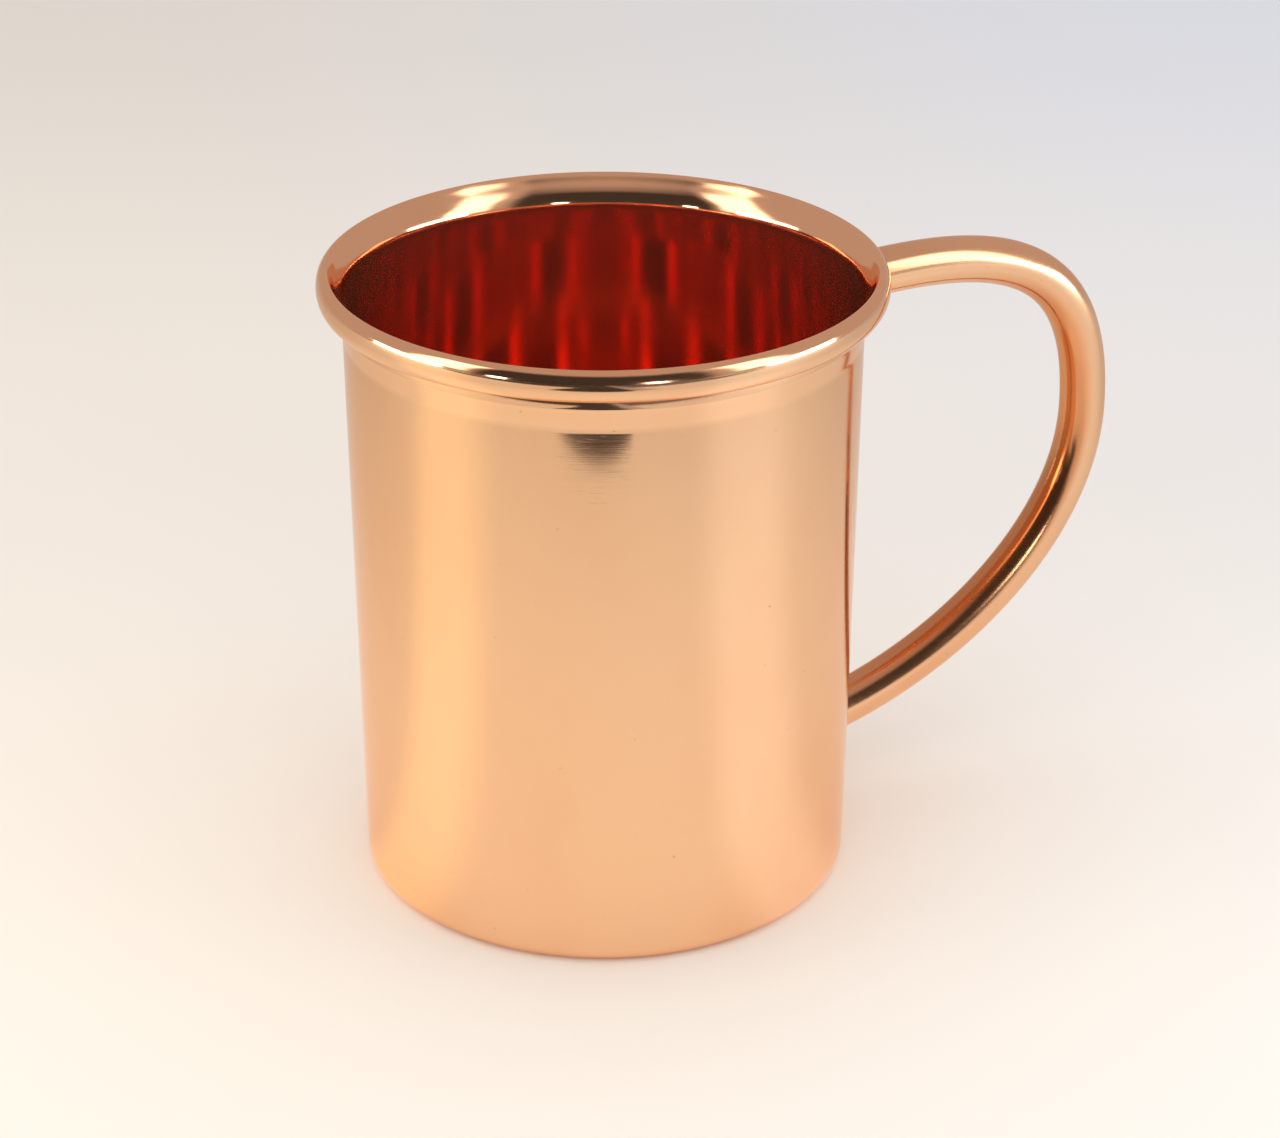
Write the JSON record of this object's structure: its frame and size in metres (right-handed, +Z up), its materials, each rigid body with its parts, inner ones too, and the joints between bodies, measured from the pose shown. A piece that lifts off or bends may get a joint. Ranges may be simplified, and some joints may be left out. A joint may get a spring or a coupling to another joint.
{
  "type": "copper mug",
  "caption": "Straight-sided copper drinking mug with a rolled rim, a radiused flat base and a bent tube handle brazed to the wall.",
  "frame": {"origin": "centre of the flat underside of the base, on the mug's axis", "axes": "+Z up along the mug's axis, +X from the axis towards the handle, +Y to the right seen from the handle's side looking at the mug"},
  "size_m": [0.138, 0.089, 0.1022],
  "materials": {
    "body_shell": "polished copper sheet",
    "handle_tube": "polished copper tube",
    "upper_braze": "satin copper-coloured braze",
    "lower_braze": "satin copper-coloured braze"
  },
  "bodies": {
    "root": {"body_shell": "body_shell", "handle_tube": "handle_tube", "upper_braze": "upper_braze", "lower_braze": "lower_braze"}
  },
  "joints": []
}
